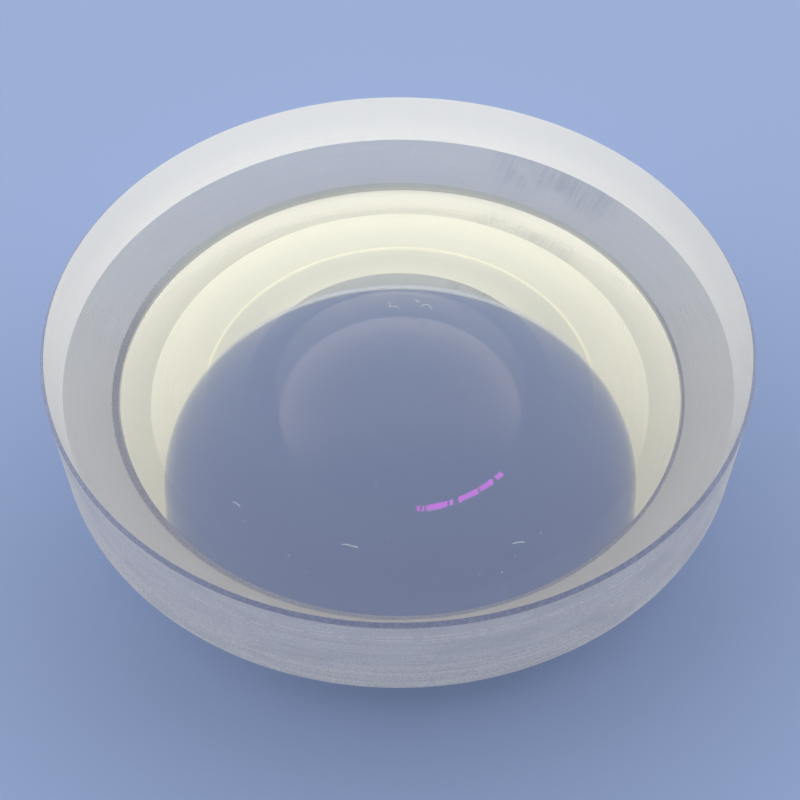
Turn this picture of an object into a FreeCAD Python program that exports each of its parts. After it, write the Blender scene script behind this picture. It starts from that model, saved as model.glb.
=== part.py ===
"""Biconcave lens: one round block of optical glass, ground on its edge and polished on both faces.

The origin is the centre of the foot ring's plane, +Z points up along the lens axis, and lengths are
in millimetres. The shallow hollow faces up. The deep hollow faces down, inside the narrow foot ring
that the lens stands on.
"""
import FreeCAD
import Part
import Sketcher
import math
import os
from enum import IntEnum

# Driving dimensions, in millimetres
DIMENSIONS = {
    "OuterDiameter": 100.0,
    "CentreThickness": 2.5,
    "UpperCurvature": 224.0,
    "UnderCurvature": 70.5,
    "RimChamfer": 0.5,
    "BevelWidth": 5.9,
    "BevelHeight": 7.4,
    "FootWidth": 1.0,
    "UnderOffsetRight": 0.3,
    "UnderOffsetFront": 0.38,
    "GrindOverrun": 2.0,
}

# Sizes worked out from them, as expressions of the sheet's cells
SHEET = "Dimensions"
RIM_RADIUS = f"{SHEET}.OuterDiameter / 2"
FOOT_RADIUS = f"{RIM_RADIUS} - {SHEET}.BevelWidth"
HOLLOW_RADIUS = f"{FOOT_RADIUS} - {SHEET}.FootWidth"
HOLLOW_CENTRE_DEPTH = f"sqrt({SHEET}.UnderCurvature ^ 2 - ({HOLLOW_RADIUS}) ^ 2)"
HOLLOW_SAG = f"{SHEET}.UnderCurvature - {HOLLOW_CENTRE_DEPTH}"
UPPER_VERTEX = f"{HOLLOW_SAG} + {SHEET}.CentreThickness"


class PointPos(IntEnum):
    """Which point of a line or an arc a constraint takes, as a sketch numbers them."""
    START = 1
    END = 2
    CENTRE = 3


class SketchAxis(IntEnum):
    """The sketch's own axes, as it numbers them. The start of the horizontal one is its origin."""
    HORIZONTAL = -1
    VERTICAL = -2


START, END, CENTRE = PointPos
H_AXIS, V_AXIS = SketchAxis


def make_sheet(doc):
    """Put the driving dimensions in a spreadsheet, each in a cell with an alias."""
    sheet = doc.addObject("Spreadsheet::Sheet", SHEET)
    for row, (name, value) in enumerate(DIMENSIONS.items(), start=1):
        sheet.set(f"A{row}", name)
        sheet.set(f"B{row}", str(value))
        sheet.setAlias(f"B{row}", name)
    doc.recompute()
    return sheet


def add_sketch(body, name):
    """Add a sketch on the body's own upright XZ plane, with its x along +X and its y along +Z."""
    sketch = body.newObject("Sketcher::SketchObject", name)
    plane = next(f for f in body.Origin.OriginFeatures if f.Role == "XZ_Plane")
    sketch.AttachmentSupport = [(plane, "")]
    sketch.MapMode = "FlatFace"
    return sketch


def bind(sketch, name, expression, *constraint):
    """Add a dimension to the sketch, name it and tie it to an expression of the sheet."""
    number = sketch.addConstraint(Sketcher.Constraint(*constraint))
    sketch.renameConstraint(number, name)
    sketch.setExpression(f"Constraints.{name}", expression)


def join(sketch, *pairs):
    """Make the end of one piece of geometry meet the start or end of another."""
    for one, one_point, other, other_point in pairs:
        sketch.addConstraint(Sketcher.Constraint("Coincident", one, one_point, other, other_point))


def point(x, z):
    return FreeCAD.Vector(x, z, 0)


def arc_between(centre, radius, first, last):
    """Arc about a centre, anticlockwise from the direction of one point to that of another."""
    angles = [math.atan2(p.y - centre.y, p.x - centre.x) for p in (first, last)]
    return Part.ArcOfCircle(Part.Circle(centre, FreeCAD.Vector(0, 0, 1), radius), *angles)


def add_blank(body, size):
    """Turn the edge, the bevel, the rim chamfer and the shallow upper face in one revolution."""
    rim = size["OuterDiameter"] / 2
    foot = rim - size["BevelWidth"]
    hollow = foot - size["FootWidth"]
    chamfer = size["RimChamfer"]
    bevel_rise = size["BevelHeight"]
    curve = size["UpperCurvature"]
    under = size["UnderCurvature"]
    vertex_height = under - math.sqrt(under ** 2 - hollow ** 2) + size["CentreThickness"]
    rim_height = vertex_height + curve - math.sqrt(curve ** 2 - (rim - chamfer) ** 2)

    axis_foot, foot_edge = point(0, 0), point(foot, 0)
    wall_foot, wall_top = point(rim, bevel_rise), point(rim, rim_height - chamfer)
    face_edge, vertex = point(rim - chamfer, rim_height), point(0, vertex_height)
    centre = point(0, vertex_height + curve)

    sketch = add_sketch(body, "BlankProfile")
    base, bevel, wall, edge, axis = [
        sketch.addGeometry(Part.LineSegment(one, other))
        for one, other in (
            (axis_foot, foot_edge),
            (foot_edge, wall_foot),
            (wall_foot, wall_top),
            (wall_top, face_edge),
            (vertex, axis_foot),
        )
    ]
    face = sketch.addGeometry(arc_between(centre, curve, vertex, face_edge))
    join(
        sketch,
        (base, START, H_AXIS, START),
        (base, END, bevel, START),
        (bevel, END, wall, START),
        (wall, END, edge, START),
        (edge, END, face, END),
        (face, START, axis, START),
        (axis, END, base, START),
    )
    sketch.addConstraint(Sketcher.Constraint("Horizontal", base))
    sketch.addConstraint(Sketcher.Constraint("Vertical", wall))
    sketch.addConstraint(Sketcher.Constraint("Vertical", axis))
    sketch.addConstraint(Sketcher.Constraint("PointOnObject", face, CENTRE, V_AXIS))
    bind(sketch, "RimRadius", RIM_RADIUS, "DistanceX", H_AXIS, START, wall, START, rim)
    bind(sketch, "FootRadius", FOOT_RADIUS, "DistanceX", H_AXIS, START, base, END, foot)
    bind(sketch, "BevelRise", f"{SHEET}.BevelHeight", "DistanceY", bevel, START, bevel, END, bevel_rise)
    bind(sketch, "ChamferWidth", f"{SHEET}.RimChamfer", "DistanceX", edge, END, edge, START, chamfer)
    bind(sketch, "ChamferRise", f"{SHEET}.RimChamfer", "DistanceY", edge, START, edge, END, chamfer)
    bind(sketch, "VertexHeight", UPPER_VERTEX, "DistanceY", H_AXIS, START, face, START, vertex_height)
    bind(sketch, "FaceCurvature", f"{SHEET}.UpperCurvature", "Radius", face, curve)

    blank = body.newObject("PartDesign::Revolution", "Blank")
    blank.Profile = sketch
    blank.ReferenceAxis = (sketch, ["V_Axis"])
    blank.Angle = 360
    return blank


def add_under_hollow(body, size):
    """Grind the deep spherical hollow into the underside, about an axis of its own.

    That axis lies a little to the right (+X) and to the front (-Y) of the axis of the edge, so the
    foot ring is narrower on that side. The sketch's own normal points to the front.
    """
    curve = size["UnderCurvature"]
    overrun = size["GrindOverrun"]
    hollow = size["OuterDiameter"] / 2 - size["BevelWidth"] - size["FootWidth"]
    depth = math.sqrt(curve ** 2 - hollow ** 2)

    centre, vertex = point(0, -depth), point(0, curve - depth)
    tool_edge = point(math.sqrt(curve ** 2 - (depth - overrun) ** 2), -overrun)
    tool_axis = point(0, -overrun)

    sketch = add_sketch(body, "UnderHollowProfile")
    sketch.setExpression("AttachmentOffset.Base.x", f"{SHEET}.UnderOffsetRight")
    sketch.setExpression("AttachmentOffset.Base.z", f"{SHEET}.UnderOffsetFront")
    face = sketch.addGeometry(arc_between(centre, curve, tool_edge, vertex))
    axis = sketch.addGeometry(Part.LineSegment(vertex, tool_axis))
    base = sketch.addGeometry(Part.LineSegment(tool_axis, tool_edge))
    join(sketch, (face, END, axis, START), (axis, END, base, START), (base, END, face, START))
    sketch.addConstraint(Sketcher.Constraint("PointOnObject", face, CENTRE, V_AXIS))
    sketch.addConstraint(Sketcher.Constraint("PointOnObject", axis, START, V_AXIS))
    sketch.addConstraint(Sketcher.Constraint("Vertical", axis))
    sketch.addConstraint(Sketcher.Constraint("Horizontal", base))
    bind(sketch, "CentreDepth", HOLLOW_CENTRE_DEPTH, "DistanceY", face, CENTRE, H_AXIS, START, depth)
    bind(sketch, "FaceCurvature", f"{SHEET}.UnderCurvature", "Radius", face, curve)
    bind(sketch, "Overrun", f"{SHEET}.GrindOverrun", "DistanceY", base, START, H_AXIS, START, overrun)

    hollow_cut = body.newObject("PartDesign::Groove", "UnderHollow")
    hollow_cut.Profile = sketch
    hollow_cut.ReferenceAxis = (sketch, ["V_Axis"])
    hollow_cut.Angle = 360
    return hollow_cut


def check(doc, parts):
    """Stop unless every object recomputed and every part is one valid solid."""
    for item in doc.Objects:
        if {"Invalid", "Error"} & set(item.State):
            raise RuntimeError(f"{item.Name} did not recompute: {item.State}")
    for part in parts:
        shape = part.Shape
        if shape.isNull() or not shape.isValid() or len(shape.Solids) != 1:
            raise RuntimeError(f"{part.Label} is not one valid solid")


def main():
    doc = FreeCAD.newDocument("BiconcaveLens")
    make_sheet(doc)

    lens = doc.addObject("PartDesign::Body", "Lens")
    lens.Label = "lens"
    lens.Placement = FreeCAD.Placement()
    blank = add_blank(lens, DIMENSIONS)
    doc.recompute()
    blank_volume = blank.Shape.Volume
    hollow_cut = add_under_hollow(lens, DIMENSIONS)
    doc.recompute()
    if hollow_cut.Shape.Volume >= blank_volume:
        raise RuntimeError("the under hollow removed nothing")

    check(doc, [lens])
    os.makedirs("parts", exist_ok=True)
    lens.Shape.exportStep("parts/lens.step")
    box = lens.Shape.BoundBox
    print(f"lens: {box.XLength:.2f} x {box.YLength:.2f} x {box.ZLength:.2f} mm, "
          f"volume {lens.Shape.Volume:.0f} mm3, {len(lens.Shape.Faces)} faces")


main()
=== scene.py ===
"""A biconcave lens of optical glass, standing on its foot ring on a pale studio floor.

Lengths are in metres. +Z points up along the lens axis, and the origin is the centre of the foot
ring's plane. The shallow hollow faces up and the deep hollow faces down.
"""
import math
import bpy
from mathutils import Matrix, Vector


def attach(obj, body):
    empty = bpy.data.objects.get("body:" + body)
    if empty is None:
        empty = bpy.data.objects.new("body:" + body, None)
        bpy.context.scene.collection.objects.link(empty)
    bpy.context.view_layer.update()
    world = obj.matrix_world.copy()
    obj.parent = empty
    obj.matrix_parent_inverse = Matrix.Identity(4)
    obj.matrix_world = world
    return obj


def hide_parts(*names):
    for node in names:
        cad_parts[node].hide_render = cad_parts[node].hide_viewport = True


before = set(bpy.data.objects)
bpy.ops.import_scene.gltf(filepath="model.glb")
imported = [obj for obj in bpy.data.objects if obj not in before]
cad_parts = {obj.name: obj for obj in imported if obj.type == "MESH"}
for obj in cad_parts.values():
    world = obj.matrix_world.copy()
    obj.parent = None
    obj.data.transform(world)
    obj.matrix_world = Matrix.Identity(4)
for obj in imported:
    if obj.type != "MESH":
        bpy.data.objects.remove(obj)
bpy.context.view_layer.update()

MM = 0.001

# Sizes of the lens
RIM_RADIUS = 50.0 * MM
CENTRE_THICKNESS = 2.5 * MM
UPPER_CURVATURE = 224.0 * MM
UNDER_CURVATURE = 70.5 * MM
RIM_CHAMFER = 0.5 * MM
BEVEL_WIDTH = 5.9 * MM
BEVEL_HEIGHT = 7.4 * MM
FOOT_WIDTH = 1.0 * MM
# The hollow's own axis, to the right of the edge's and in front of it
UNDER_OFFSET = (0.3 * MM, -0.38 * MM)

FOOT_RADIUS = RIM_RADIUS - BEVEL_WIDTH
HOLLOW_RADIUS = FOOT_RADIUS - FOOT_WIDTH
FACE_RADIUS = RIM_RADIUS - RIM_CHAMFER
HOLLOW_SAG = UNDER_CURVATURE - math.sqrt(UNDER_CURVATURE ** 2 - HOLLOW_RADIUS ** 2)
FACE_SAG = UPPER_CURVATURE - math.sqrt(UPPER_CURVATURE ** 2 - FACE_RADIUS ** 2)
VERTEX_HEIGHT = HOLLOW_SAG + CENTRE_THICKNESS
RIM_HEIGHT = VERTEX_HEIGHT + FACE_SAG

# Material slots of the lens
POLISHED, EDGE, CHAMFER, BEVEL, FOOT = range(5)

# Steps of the mesh: round the axis, and from ring to ring over each surface
TURN_STEPS = 480
FACE_STEPS, CHAMFER_STEPS, WALL_STEPS, BEVEL_STEPS, FOOT_STEPS = 44, 3, 24, 14, 3
SHARP_ANGLE = math.radians(15)


def upper_height(radius):
    """Height of the polished upper face at a distance from the axis."""
    return VERTEX_HEIGHT + UPPER_CURVATURE - math.sqrt(UPPER_CURVATURE ** 2 - radius ** 2)


def under_height(radius):
    """Height of the polished hollow at a distance from its own axis."""
    depth = math.sqrt(UNDER_CURVATURE ** 2 - HOLLOW_RADIUS ** 2)
    return math.sqrt(UNDER_CURVATURE ** 2 - radius ** 2) - depth


def between(one, other, steps):
    """Evenly spaced values after one, up to and with the other."""
    return [one + (other - one) * i / steps for i in range(1, steps + 1)]


def new_object(name, verts, faces):
    """A mesh object of that name in the scene."""
    mesh = bpy.data.meshes.new(name)
    mesh.from_pydata(verts, [], faces)
    mesh.update()
    item = bpy.data.objects.new(name, mesh)
    bpy.context.scene.collection.objects.link(item)
    return item


def lens_rings():
    """Rings from the middle of the upper face round to the hollow's, as (radius, height, share).

    The share says how far a ring has moved from the edge's axis to the hollow's own.
    """
    rings, kinds = [], []

    def add(points, kind):
        rings.extend(points)
        kinds.extend([kind] * len(points))

    add([(r, upper_height(r), 0.0) for r in between(0.0, FACE_RADIUS, FACE_STEPS)], POLISHED)
    add([(FACE_RADIUS + RIM_CHAMFER * s, RIM_HEIGHT - RIM_CHAMFER * s, 0.0)
         for s in between(0, 1, CHAMFER_STEPS)], CHAMFER)
    add([(RIM_RADIUS, z, 0.0)
         for z in between(RIM_HEIGHT - RIM_CHAMFER, BEVEL_HEIGHT, WALL_STEPS)], EDGE)
    add([(RIM_RADIUS - BEVEL_WIDTH * s, BEVEL_HEIGHT * (1 - s), 0.0)
         for s in between(0, 1, BEVEL_STEPS)], BEVEL)
    add([(FOOT_RADIUS - FOOT_WIDTH * s, 0.0, s) for s in between(0, 1, FOOT_STEPS)], FOOT)
    # The last of these would be the vertex itself, which isn't a ring
    hollow = between(HOLLOW_RADIUS, 0.0, FACE_STEPS)[:-1]
    add([(r, under_height(r), 1.0) for r in hollow], POLISHED)
    return rings, kinds


def build_lens():
    """One closed mesh of the whole lens, with a material slot for each kind of surface."""
    rings, kinds = lens_rings()
    verts = [(0.0, 0.0, VERTEX_HEIGHT)]
    for radius, height, share in rings:
        x, y = (share * offset for offset in UNDER_OFFSET)
        for i in range(TURN_STEPS):
            a = 2 * math.pi * i / TURN_STEPS
            verts.append((x + radius * math.cos(a), y + radius * math.sin(a), height))
    verts.append((*UNDER_OFFSET, HOLLOW_SAG))

    faces, slots = [], []
    last_start = 1 + (len(rings) - 1) * TURN_STEPS
    for i in range(TURN_STEPS):
        j = (i + 1) % TURN_STEPS
        faces.append((0, 1 + i, 1 + j))
        slots.append(POLISHED)
        for k, kind in enumerate(kinds[1:]):
            upper, lower = 1 + k * TURN_STEPS, 1 + (k + 1) * TURN_STEPS
            faces.append((upper + i, lower + i, lower + j, upper + j))
            slots.append(kind)
        faces.append((last_start + j, last_start + i, len(verts) - 1))
        slots.append(POLISHED)

    lens = new_object("lens_glass", verts, faces)
    mesh = lens.data
    mesh.polygons.foreach_set("material_index", slots)
    mesh.polygons.foreach_set("use_smooth", [True] * len(faces))
    mesh.set_sharp_from_angle(angle=SHARP_ANGLE)
    mesh.update()
    return lens


def new_material(name):
    """A node material and its Principled shader."""
    material = bpy.data.materials.new(name)
    material.use_nodes = True
    return material, material.node_tree.nodes["Principled BSDF"]


WHITE = (1, 1, 1, 1)
# Sockets of a Mix node that mixes colours
MIX_FACTOR, MIX_ONE, MIX_OTHER, MIX_RESULT = 0, 6, 7, 2


class Pattern:
    """Short names for the pattern nodes of one material, in the object's own metres, or of a world."""

    def __init__(self, owner, coordinates="Object"):
        self.nodes = owner.node_tree.nodes
        self.links = owner.node_tree.links
        self.place = self.nodes.new("ShaderNodeTexCoord").outputs[coordinates]

    def feed(self, socket, value):
        if isinstance(value, bpy.types.NodeSocket):
            self.links.new(value, socket)
        else:
            socket.default_value = value

    def maths(self, operation, one, other=0.5):
        node = self.nodes.new("ShaderNodeMath")
        node.operation = operation
        self.feed(node.inputs[0], one)
        self.feed(node.inputs[1], other)
        return node.outputs[0]

    def product(self, first, *others):
        for other in others:
            first = self.maths("MULTIPLY", first, other)
        return first

    def vector(self, operation, one, other=(0, 0, 0)):
        node = self.nodes.new("ShaderNodeVectorMath")
        node.operation = operation
        self.feed(node.inputs[0], one)
        self.feed(node.inputs[1], other)
        return node.outputs["Value" if operation in ("DOT_PRODUCT", "LENGTH") else "Vector"]

    def noise(self, stretch, detail=3.0, roughness=0.55, turn=0.0):
        """Noise between 0 and 1 with so many spots to the metre along x, y and z.

        A turn about Z, in degrees, brings x to point outwards at that angle.
        """
        place = self.place
        if turn:
            rotate = self.nodes.new("ShaderNodeVectorRotate")
            rotate.rotation_type = "Z_AXIS"
            rotate.inputs["Angle"].default_value = -math.radians(turn)
            self.links.new(place, rotate.inputs["Vector"])
            place = rotate.outputs["Vector"]
        mapping = self.nodes.new("ShaderNodeMapping")
        mapping.inputs["Scale"].default_value = stretch
        self.links.new(place, mapping.inputs["Vector"])
        node = self.nodes.new("ShaderNodeTexNoise")
        node.inputs["Scale"].default_value = 1.0
        node.inputs["Detail"].default_value = detail
        node.inputs["Roughness"].default_value = roughness
        self.links.new(mapping.outputs["Vector"], node.inputs["Vector"])
        return node.outputs["Fac"]

    def ramp(self, value, low, high, to_low=0.0, to_high=1.0):
        """A smooth step from one number at low to another at high."""
        node = self.nodes.new("ShaderNodeMapRange")
        node.interpolation_type = "SMOOTHSTEP"
        self.feed(node.inputs["Value"], value)
        limits = (("From Min", low), ("From Max", high), ("To Min", to_low), ("To Max", to_high))
        for socket, number in limits:
            node.inputs[socket].default_value = number
        return node.outputs["Result"]

    def height(self):
        node = self.nodes.new("ShaderNodeSeparateXYZ")
        self.links.new(self.place, node.inputs[0])
        return node.outputs["Z"]

    def band(self, middle, half):
        """1 at a height, falling to 0 at half a band's width above and below it."""
        away = self.maths("ABSOLUTE", self.maths("SUBTRACT", self.height(), middle))
        return self.ramp(away, half, half * 0.3)

    def side(self, degrees, spread, fade=8.0):
        """1 round one side of the lens, a spread of degrees each way, fading to 0."""
        outward = self.vector("NORMALIZE", self.vector("MULTIPLY", self.place, (1, 1, 0)))
        a = math.radians(degrees)
        toward = self.vector("DOT_PRODUCT", outward, (math.cos(a), math.sin(a), 0))
        return self.ramp(toward, math.cos(math.radians(spread + fade)), math.cos(math.radians(spread)))

    def distance(self, centre):
        """Distance from an upright axis through a point of the floor."""
        away = self.vector("SUBTRACT", self.place, (*centre, 0))
        return self.vector("LENGTH", self.vector("MULTIPLY", away, (1, 1, 0)))

    def blend(self, mask, one, other, kind="MIX"):
        """Colour one where the mask is 0, and colour other, or its product with one, where it is 1."""
        node = self.nodes.new("ShaderNodeMix")
        node.data_type = "RGBA"
        node.blend_type = kind
        self.feed(node.inputs[MIX_FACTOR], mask)
        self.feed(node.inputs[MIX_ONE], one)
        self.feed(node.inputs[MIX_OTHER], other)
        return node.outputs[MIX_RESULT]

    def inside(self):
        """1 where the surface is seen through the glass, and 0 where it is seen from outside."""
        return self.nodes.new("ShaderNodeNewGeometry").outputs["Backfacing"]

    def tint(self, colour):
        """The colour as it is from outside, and tinted by the glass for light from within."""
        inside = self.inside()
        sent_on = self.nodes.new("ShaderNodeLightPath").outputs["Is Reflection Ray"]
        colour = self.blend(inside, colour, GLASS_TINT, "MULTIPLY")
        return self.blend(self.product(inside, sent_on), colour, LONG_WAY_TINT, "MULTIPLY")

    def bump(self, height, distance):
        node = self.nodes.new("ShaderNodeBump")
        node.inputs["Distance"].default_value = distance
        self.links.new(height, node.inputs["Height"])
        return node.outputs["Normal"]


GLASS_INDEX = 1.60
# Anti-reflection coating of the polished faces: its thickness in nanometres and its index
COATING_THICKNESS = 105.0
COATING_INDEX = 1.38


def polished_material():
    """Clear polished glass with a thin purple anti-reflection coating."""
    material, shader = new_material("polished_glass")
    shader.inputs["Base Color"].default_value = WHITE
    shader.inputs["Roughness"].default_value = 0.0
    shader.inputs["IOR"].default_value = GLASS_INDEX
    shader.inputs["Transmission Weight"].default_value = 1.0
    shader.inputs["Thin Film Thickness"].default_value = COATING_THICKNESS
    shader.inputs["Thin Film IOR"].default_value = COATING_INDEX
    return material


GROUND_ROUGHNESS, ROUGHNESS_CHANGE = 0.52, 0.08
# How much of a ground surface's own light goes on through it, and how much of the rest stays clear
WALL_SCATTER, WALL_CLEARNESS = 0.6, 0.25
BEVEL_SCATTER, BEVEL_CLEARNESS = 0.22, 0.48
FOOT_SCATTER, FOOT_CLEARNESS = 0.1, 0.1
# The faint yellow of thick heavy glass: for light straight through the upper face, and for light
# that a face of the lens has sent on before, which has come further
GLASS_TINT = (0.99, 0.965, 0.88, 1)
LONG_WAY_TINT = (0.96, 0.935, 0.77, 1)
# Spots to the metre of the grain, and the depth of the ground surfaces' relief
FINE_GRAIN, COARSE_GRAIN, FOOT_GRAIN = (3600,) * 3, (2600,) * 3, (2800,) * 3
FINE_RELIEF, COARSE_RELIEF = 0.015 * MM, 0.02 * MM
# Directions round the lens, in degrees
FRONT, BACK, LEFT = -90, 90, 175


def ground_material(name, scatter, clearness):
    """Ground glass: its fine pits scatter the light that falls on it, back out and on through it."""
    material, shader = new_material(name)
    nodes, links = material.node_tree.nodes, material.node_tree.links
    shader.inputs["IOR"].default_value = GLASS_INDEX
    shader.inputs["Transmission Weight"].default_value = clearness
    through = nodes.new("ShaderNodeBsdfTranslucent")
    mix = nodes.new("ShaderNodeMixShader")
    mix.inputs["Fac"].default_value = scatter
    links.new(shader.outputs["BSDF"], mix.inputs[1])
    links.new(through.outputs["BSDF"], mix.inputs[2])
    links.new(mix.outputs["Shader"], nodes["Material Output"].inputs["Surface"])
    return material, shader, through


def finish_ground(material, shader, through, pattern, colour, relief, depth):
    """Give both halves of a ground surface one colour and one relief."""
    links = material.node_tree.links
    normal = pattern.bump(relief, depth)
    for node, socket in ((shader, "Base Color"), (through, "Color")):
        links.new(colour, node.inputs[socket])
        links.new(normal, node.inputs["Normal"])
    smooth, rough = GROUND_ROUGHNESS - ROUGHNESS_CHANGE, GROUND_ROUGHNESS + ROUGHNESS_CHANGE
    links.new(pattern.ramp(relief, 0.3, 0.7, smooth, rough), shader.inputs["Roughness"])


# Scratches that run round the outer wall: height in millimetres, middle and spread in degrees
SCRATCHES = ((20.1, -88, 11), (19.3, -78, 27), (18.2, -115, 6))
SCRATCH_HALF = 0.14 * MM
# Height at which the wall's colour has gone over from its lower to its upper one
WALL_UPPER = 18 * MM


def edge_material():
    """The outer wall: fine marks of the edging wheel run round it, with a few bright scratches, and
    its front is painted in shade.
    """
    material, shader, through = ground_material("ground_edge", WALL_SCATTER, WALL_CLEARNESS)
    p = Pattern(material)
    marks = p.noise((50, 50, 4200), 3, 0.65)
    grain = p.noise(FINE_GRAIN, 2)
    relief = p.maths("ADD", p.product(marks, 0.45), p.product(grain, 0.55))

    # The front is painted in shade, with darker, bluer tones and darker clouds. The upper back is
    # greyer and bluer, which offsets the glass's yellow seen from within.
    front, back = p.side(FRONT, 50, 25), p.side(BACK, 60, 30)
    high = p.ramp(p.height(), BEVEL_HEIGHT, WALL_UPPER)
    light = p.blend(p.product(high, back), (0.98, 0.985, 0.99, 1), (0.84, 0.86, 0.90, 1))
    light = p.blend(p.product(high, front), light, (0.86, 0.87, 0.94, 1))
    dark = p.blend(front, (0.89, 0.895, 0.92, 1), (0.69, 0.70, 0.81, 1))
    colour = p.blend(p.ramp(relief, 0.36, 0.64), dark, light)
    shade_clouds = p.ramp(p.noise((90, 90, 260), 2), 0.46, 0.70, 0.0, 0.4)
    colour = p.blend(p.product(shade_clouds, front), colour, (0.62, 0.64, 0.74, 1))

    faint = p.ramp(p.noise((160, 160, 9000), 2), 0.64, 0.72, 0.0, 0.8)
    scratch = p.product(faint, p.side(FRONT, 60, 25))
    broken = p.ramp(p.noise((700, 700, 300), 2), 0.42, 0.52)
    for height, middle, spread in SCRATCHES:
        line = p.product(p.band(height * MM, SCRATCH_HALF), p.side(middle, spread, 5.0), broken)
        scratch = p.maths("MAXIMUM", scratch, line)
    colour = p.blend(scratch, colour, WHITE)
    finish_ground(material, shader, through, p, p.tint(colour), relief, FINE_RELIEF)
    return material


def chamfer_material():
    """The narrow chamfer round the rim: a coarser grind, painted greyer and bluer than the wall from
    outside as painted shade.
    """
    material, shader, through = ground_material("ground_chamfer", WALL_SCATTER, WALL_CLEARNESS)
    p = Pattern(material)
    grain = p.noise(COARSE_GRAIN, 3)
    # From outside it is painted dark lavender, a painted shade for the dark glass seen through it;
    # from within it is pale.
    colour = p.blend(p.ramp(grain, 0.36, 0.64), (0.42, 0.46, 0.65, 1), (0.54, 0.58, 0.79, 1))
    colour = p.blend(p.inside(), colour, (0.88, 0.89, 0.91, 1))
    finish_ground(material, shader, through, p, p.tint(colour), grain, COARSE_RELIEF)
    return material


# The middle of the wiped patch on the bevel, in degrees, and the heights between which it fades in
WIPED_ANGLE = 55.0
WIPED_FROM, WIPED_TO = 0.8 * MM, 5.5 * MM
# The chips at the bevel's foot: where they begin, going down, and where they are thickest
CHIPS_TOP, CHIPS_FOOT = 0.24 * MM, 0.04 * MM


def bevel_material():
    """The wide bevel: fine grain, a wiped patch on the far side, and small chips at its foot."""
    material, shader, through = ground_material("ground_bevel", BEVEL_SCATTER, BEVEL_CLEARNESS)
    p = Pattern(material)
    marks = p.noise((60, 60, 1800), 3)
    grain = p.noise(FINE_GRAIN, 2)
    relief = p.maths("ADD", p.product(marks, 0.35), p.product(grain, 0.65))
    colour = p.blend(p.ramp(relief, 0.36, 0.64), (0.94, 0.945, 0.965, 1), WHITE)

    strokes = p.ramp(p.noise((60, 2200, 80), 4, 0.7, turn=WIPED_ANGLE), 0.40, 0.62, 0.35, 1.0)
    patch = p.ramp(p.noise((90, 90, 130), 4, 0.6), 0.36, 0.58)
    high = p.ramp(p.height(), WIPED_FROM, WIPED_TO, 0.15, 1.0)
    wiped = p.product(strokes, patch, high, p.side(WIPED_ANGLE, 9), 0.65)
    colour = p.blend(wiped, colour, (0.58, 0.60, 0.68, 1))

    chips = p.ramp(p.noise((4200,) * 3, 2, 0.6), 0.56, 0.62)
    chips = p.product(chips, p.ramp(p.height(), CHIPS_TOP, CHIPS_FOOT), p.side(LEFT, 30, 10.0))
    colour = p.blend(chips, colour, (0.20, 0.21, 0.27, 1))
    finish_ground(material, shader, through, p, p.tint(colour), relief, FINE_RELIEF)
    return material


# How far the painted highlight along the hollow reaches into the foot ring: wholly, and at the most
FOOT_HIGHLIGHT, FOOT_HIGHLIGHT_END = 0.15 * MM, 0.3 * MM


def foot_material():
    """The flat foot ring: greyer than the bevel, painted lighter towards the back as painted light,
    with a painted highlight along the hollow's edge.
    """
    material, shader, through = ground_material("ground_foot", FOOT_SCATTER, FOOT_CLEARNESS)
    p = Pattern(material)
    grain = p.noise(FOOT_GRAIN, 3, 0.65)
    colour = p.blend(p.ramp(grain, 0.38, 0.62), (0.47, 0.51, 0.66, 1), (0.60, 0.64, 0.80, 1))
    # Painted light: the ring is lighter towards the back, where the back light reaches it.
    colour = p.blend(p.side(BACK, 50, 35.0), colour, (0.84, 0.91, 1.0, 1))
    # A painted highlight: a white line along the hollow's edge, round the back and the sides.
    away = p.distance(UNDER_OFFSET)
    edge_highlight = p.ramp(away, HOLLOW_RADIUS + FOOT_HIGHLIGHT_END, HOLLOW_RADIUS + FOOT_HIGHLIGHT)
    colour = p.blend(p.product(edge_highlight, p.side(BACK, 95, 25.0)), colour, WHITE)
    finish_ground(material, shader, through, p, colour, grain, COARSE_RELIEF)
    return material


def lint_material():
    material, shader = new_material("lint")
    p = Pattern(material)
    colour = p.blend(p.noise((3000,) * 3), (0.80, 0.82, 0.88, 1), (0.97, 0.97, 0.98, 1))
    p.feed(shader.inputs["Base Color"], colour)
    shader.inputs["Roughness"].default_value = 0.8
    return material


# Threads of lint on the upper face, as x and y in millimetres, and single specks of dust
THREADS = (
    ((-21.2, -30.6), (-20.7, -30.8), (-20.2, -31.3)),
    ((-7.1, -37.2), (-6.5, -37.1), (-6.0, -37.4), (-5.3, -37.5), (-5.1, -37.7)),
    ((14.1, -37.4), (14.6, -37.2), (15.2, -37.15), (15.6, -37.2)),
    ((-1.5, 7.5), (-1.1, 7.1), (-1.4, 6.6), (-0.8, 6.5), (-0.3, 6.7), (0.1, 6.2)),
    ((3.4, 6.6), (3.9, 7.0), (4.5, 6.9), (4.8, 6.4), (5.0, 6.1)),
    ((2.5, 7.9), (2.9, 7.7), (3.1, 7.4)),
)
SPECKS = (
    (-23.4, -33.4), (-19.5, -33.8), (-13.6, -39.2), (-11.3, -41.6), (17.7, -35.8),
    (14.2, -39.5), (9.7, -42.2), (12.4, -42.0), (5.2, 3.1), (-15.0, -1.0),
    (16.5, -14.0), (-3.0, -27.0), (4.0, -31.5), (-1.5, -36.0),
)
# Radius of a thread, and radii of the smallest and the largest speck, in metres
THREAD_RADIUS = 0.05 * MM
SPECK_RADII = (0.05 * MM, 0.08 * MM)
# How far a speck reaches along x and y, in its own radii
SPECK_REACH = (1.6, 0.6)
THREAD_SIDES = 5


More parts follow.
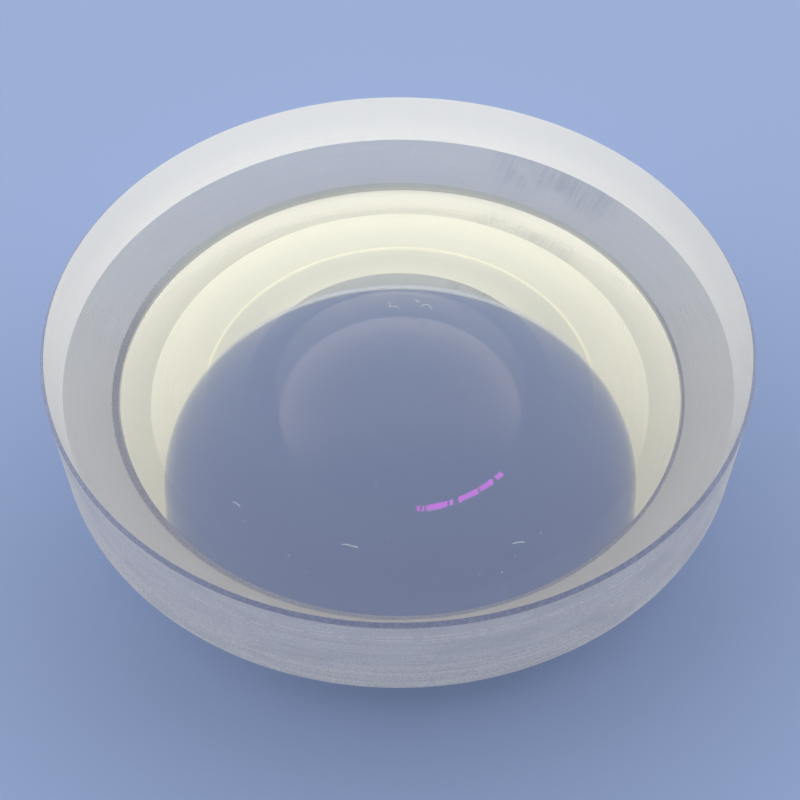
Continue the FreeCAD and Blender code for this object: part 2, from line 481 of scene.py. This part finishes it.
def sweep(points, radius):
    """A thin closed thread through points, as vertices and faces."""
    verts, faces = [], []
    for i, point in enumerate(points):
        ahead = (points[min(i + 1, len(points) - 1)] - points[max(i - 1, 0)]).normalized()
        across = ahead.cross(Vector((0, 0, 1))).normalized()
        over = across.cross(ahead)
        for k in range(THREAD_SIDES):
            a = 2 * math.pi * k / THREAD_SIDES
            verts.append(point + radius * (math.cos(a) * across + math.sin(a) * over))
    for i in range(len(points) - 1):
        start, following = i * THREAD_SIDES, (i + 1) * THREAD_SIDES
        for k in range(THREAD_SIDES):
            m = (k + 1) % THREAD_SIDES
            faces.append((start + k, start + m, following + m, following + k))
    last = (len(points) - 1) * THREAD_SIDES
    faces.append(tuple(reversed(range(THREAD_SIDES))))
    faces.append(tuple(range(last, last + THREAD_SIDES)))
    return verts, faces


def on_face(x, y, lift):
    """A point a little above the upper face, from x and y in millimetres."""
    x, y = x * MM, y * MM
    return Vector((x, y, upper_height(math.hypot(x, y)) + lift))


def build_lint():
    """Lint and dust that lie on the upper face."""
    verts, faces = [], []

    def add(new_verts, new_faces):
        start = len(verts)
        verts.extend(new_verts)
        faces.extend(tuple(start + i for i in face) for face in new_faces)

    for thread in THREADS:
        add(*sweep([on_face(x, y, THREAD_RADIUS) for x, y in thread], THREAD_RADIUS))
    small, large = SPECK_RADII
    for i, (x, y) in enumerate(SPECKS):
        size = small + (large - small) * (i * 7 % 5) / 4
        dx, dy = (reach * size / MM for reach in SPECK_REACH)
        add(*sweep([on_face(x, y, size), on_face(x + dx, y + dy, size)], size))
    lint = new_object("lint", verts, faces)
    lint.data.materials.append(lint_material())
    return lint


FLOOR_COLOUR = (0.33, 0.43, 0.70, 1)
FLOOR_HALF = 3.0
FLOOR_DROP = 0.02 * MM


def add_floor():
    e, z = FLOOR_HALF, -FLOOR_DROP
    floor = new_object("floor", [(-e, -e, z), (e, -e, z), (e, e, z), (-e, e, z)], [(0, 1, 2, 3)])
    material, shader = new_material("floor_paint")
    shader.inputs["Base Color"].default_value = FLOOR_COLOUR
    shader.inputs["Roughness"].default_value = 0.7
    shader.inputs["Specular IOR Level"].default_value = 0.2
    floor.data.materials.append(material)


# The soft light: it grows from the front to the window side as the direction's share of that side
# goes from the first to the second value, and falls to a share of itself towards the ceiling
FRONT_STRENGTH = 0.1
BACK_STRENGTH = 2.6
WINDOW_SIDE = (-0.12, 0.99, 0)
WINDOW_REACH = (-0.6, 0.15)
CEILING_REACH = (0.25, 0.95)
CEILING_SHARE = 0.3


def add_world():
    """The soft light: from windows at the back and the sides, less from above, least in front."""
    world = bpy.data.worlds.new("studio")
    bpy.context.scene.world = world
    world.use_nodes = True
    background = world.node_tree.nodes["Background"]
    background.inputs["Color"].default_value = WHITE
    p = Pattern(world, "Generated")
    to_windows = p.vector("DOT_PRODUCT", p.place, WINDOW_SIDE)
    to_ceiling = p.vector("DOT_PRODUCT", p.place, (0, 0, 1))
    windows = p.ramp(to_windows, *WINDOW_REACH, FRONT_STRENGTH, BACK_STRENGTH)
    ceiling = p.ramp(to_ceiling, *CEILING_REACH, 1.0, CEILING_SHARE)
    p.feed(background.inputs["Strength"], p.product(windows, ceiling))


# A slim strip light, in lengths with gaps between them, that glints in the coated upper face:
# for each length, its two ends as x and middle height in millimetres
STRIP_LENGTHS = (
    (1.52, 413.8, 1.78, 413.9), (2.0, 414.0, 2.2, 414.0), (2.37, 414.1, 4.12, 416.2),
    (4.28, 416.6, 4.55, 417.2), (4.96, 418.0, 6.34, 422.4), (6.50, 423.0, 7.26, 427.4),
    (7.42, 428.5, 7.74, 431.2),
)
STRIP_DISTANCE = 450.0
# The concave face shows it stretched, by so much across and up, and half its width in that image
STRIP_STRETCH = (13.0, 2.2)
STRIP_HALF = 3.2
STRIP_STRENGTH = 34.0
STRIP_COLOUR = (0.62, 0.04, 0.8, 1)


def add_strip():
    """The strip light. It is seen in the glass only, and lights nothing else."""
    verts, faces = [], []
    wide, tall = STRIP_STRETCH
    for x0, z0, x1, z1 in STRIP_LENGTHS:
        along = Vector(((x1 - x0) * wide, (z1 - z0) * tall)).normalized()
        dx, dz = STRIP_HALF * along.y / wide, STRIP_HALF * along.x / tall
        start = len(verts)
        corners = ((x0 + dx, z0 - dz), (x1 + dx, z1 - dz), (x1 - dx, z1 + dz), (x0 - dx, z0 + dz))
        verts.extend((x * MM, STRIP_DISTANCE * MM, z * MM) for x, z in corners)
        faces.append(tuple(range(start, start + len(corners))))
    strip = new_object("strip_light", verts, faces)
    material, shader = new_material("strip_glow")
    shader.inputs["Base Color"].default_value = (0, 0, 0, 1)
    shader.inputs["Emission Color"].default_value = STRIP_COLOUR
    shader.inputs["Emission Strength"].default_value = STRIP_STRENGTH
    material.cycles.emission_sampling = "NONE"
    strip.data.materials.append(material)
    strip.visible_camera = False
    strip.visible_diffuse = False


# Camera, in the photograph's own frame of 800 by 800 pixels
FRAME_PIXELS = 800
FOCAL_PIXELS = 1289.07
CAMERA_ELEVATION = 0.86853
CAMERA_DISTANCE = 3.88429 * RIM_RADIUS
CAMERA_ROLL = -0.00314
AIM_HEIGHT = BEVEL_HEIGHT
AIM_PIXEL = (397.85, 383.50)
MIDDLE_PIXEL = 399.5
SENSOR_WIDTH = 36.0
CLIP_NEAR, CLIP_FAR = 0.01, 20


def add_camera():
    data = bpy.data.cameras.new("camera")
    data.sensor_fit = "HORIZONTAL"
    data.sensor_width = SENSOR_WIDTH
    data.lens = FOCAL_PIXELS / FRAME_PIXELS * SENSOR_WIDTH
    data.shift_x = (MIDDLE_PIXEL - AIM_PIXEL[0]) / FRAME_PIXELS
    data.shift_y = (AIM_PIXEL[1] - MIDDLE_PIXEL) / FRAME_PIXELS
    data.clip_start, data.clip_end = CLIP_NEAR, CLIP_FAR
    camera = bpy.data.objects.new("camera", data)
    bpy.context.scene.collection.objects.link(camera)
    bpy.context.scene.camera = camera

    aim = Vector((0, 0, AIM_HEIGHT))
    back = Vector((0, -math.cos(CAMERA_ELEVATION), math.sin(CAMERA_ELEVATION)))
    level_right = Vector((1, 0, 0))
    level_up = back.cross(level_right)
    c, s = math.cos(CAMERA_ROLL), math.sin(CAMERA_ROLL)
    right = c * level_right + s * level_up
    up = -s * level_right + c * level_up
    axes = Matrix((right, up, back)).transposed().to_4x4()
    camera.matrix_world = Matrix.Translation(aim + CAMERA_DISTANCE * back) @ axes


lens = build_lens()
# In the order of the slots, from POLISHED to FOOT
for make in (polished_material, edge_material, chamfer_material, bevel_material, foot_material):
    lens.data.materials.append(make())
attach(lens, "root")
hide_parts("lens")

lint = build_lint()
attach(lint, "root")

add_floor()
add_world()
add_strip()
add_camera()

scene = bpy.context.scene
scene.view_settings.view_transform = "Standard"
scene.cycles.max_bounces = 8
scene.cycles.glossy_bounces = 6
scene.cycles.transmission_bounces = 7
scene.cycles.diffuse_bounces = 2
